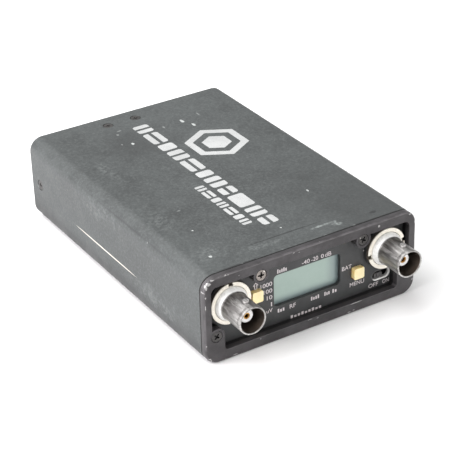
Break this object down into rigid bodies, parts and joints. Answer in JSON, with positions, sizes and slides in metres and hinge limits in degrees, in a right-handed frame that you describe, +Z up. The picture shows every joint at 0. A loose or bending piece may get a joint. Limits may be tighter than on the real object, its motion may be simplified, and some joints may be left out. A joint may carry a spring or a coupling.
{
  "type": "wireless microphone receiver",
  "caption": "Portable wireless microphone receiver: metal case with antenna sockets, display and push buttons in front, audio and power sockets and a hinged battery door behind.",
  "frame": {"origin": "middle of the case's underside: half its width and half the depth of the case itself, at the height of the surface it rests on", "axes": "+X to the right seen from the front, +Y from the antenna sockets towards the rear panel, +Z up"},
  "size_m": [0.082, 0.1344, 0.0313],
  "materials": {
    "sleeve_paint": "satin grey-black paint, scuffed, with chips down to bare metal",
    "black_anodised": "fine-textured black coating, worn bright at the edges",
    "panel_anodised": "matt black",
    "black_screw": "black oxide",
    "worn_screw": "black oxide worn through to steel",
    "black_plastic": "matt",
    "lever_plastic": "satin",
    "tray_plastic": "fine moulded texture",
    "display_glass": "glossy, grey-green behind",
    "white_plastic": "translucent white",
    "circuit_board": "green solder mask",
    "button_plastic": "satin cream-yellow",
    "tin_plate": "bright tinned sheet",
    "battery_wrap": "plain printed steel can",
    "nickel": "nickel plate, dulled and scratched",
    "bright_nickel": "nickel plate",
    "gold": "gold plate",
    "white_insulator": "smooth fluoropolymer",
    "bare_steel": "plain",
    "grey_foam": "closed-cell foam"
  },
  "bodies": {
    "receiver_case": {"case_sleeve": "sleeve_paint", "top_screw_left": "black_screw", "top_screw_right": "black_screw", "base_screw_left": "black_screw", "base_screw_right": "black_screw", "side_screw": "black_screw", "front_bezel": "black_anodised", "bezel_screw_upper_left": "worn_screw", "bezel_screw_upper_right": "black_screw", "bezel_screw_lower_left": "black_screw", "bezel_screw_lower_right": "black_screw", "front_panel": "panel_anodised", "display_glass": "display_glass", "display_frame": "black_plastic", "display_backlight": "white_plastic", "control_board": "circuit_board", "up_switch": "black_plastic", "down_switch": "black_plastic", "menu_switch": "black_plastic", "power_switch": "tin_plate", "radio_board": "circuit_board", "tuner_shield_left": "tin_plate", "tuner_shield_right": "tin_plate", "audio_shield": "tin_plate", "battery_tray": "tray_plastic", "battery_1": "battery_wrap", "battery_2": "battery_wrap", "battery_contacts": "circuit_board", "rear_panel": "panel_anodised", "output_shell": "nickel", "output_insert": "black_plastic", "output_pin_1": "gold", "output_pin_2": "gold", "output_pin_3": "gold", "output_screw_1": "black_screw", "output_screw_2": "black_screw", "power_socket_body": "black_plastic", "power_socket_pin": "nickel", "door_hinge_pin": "bare_steel", "left_antenna_body": "nickel", "left_antenna_nut": "bright_nickel", "left_antenna_washer": "black_plastic", "left_antenna_insulator": "white_insulator", "left_antenna_contact": "gold", "right_antenna_body": "nickel", "right_antenna_nut": "bright_nickel", "right_antenna_washer": "black_plastic", "right_antenna_insulator": "white_insulator", "right_antenna_contact": "gold"},
    "up_key": {"up_button": "button_plastic"},
    "down_key": {"down_button": "button_plastic"},
    "menu_key": {"menu_button": "button_plastic"},
    "power_slider": {"power_lever": "lever_plastic"},
    "battery_hatch": {"battery_door": "black_anodised", "door_pad": "grey_foam"},
    "hatch_screw": {"door_thumbscrew": "nickel"}
  },
  "joints": [
    {"name": "up_press", "type": "slide", "parent": "receiver_case", "child": "up_key", "axis": [0, 1, 0], "range_m": [0, 0.0005], "stiffness_N_per_m": 500},
    {"name": "down_press", "type": "slide", "parent": "receiver_case", "child": "down_key", "axis": [0, 1, 0], "range_m": [0, 0.0005], "stiffness_N_per_m": 500},
    {"name": "menu_press", "type": "slide", "parent": "receiver_case", "child": "menu_key", "axis": [0, 1, 0], "range_m": [0, 0.0005], "stiffness_N_per_m": 500},
    {"name": "power_slide", "type": "slide", "parent": "receiver_case", "child": "power_slider", "axis": [1, 0, 0], "range_m": [0, 0.0024]},
    {"name": "door_swing", "type": "hinge", "parent": "receiver_case", "child": "battery_hatch", "pos_m": [0.0375, 0.0591, 0.01565], "axis": [0, 0, -1], "range_deg": [0, 90]},
    {"name": "thumbscrew_turn", "type": "hinge", "parent": "battery_hatch", "child": "hatch_screw", "pos_m": [0.0008, 0.0606, 0.01565], "axis": [0, 1, 0], "continuous": true}
  ]
}
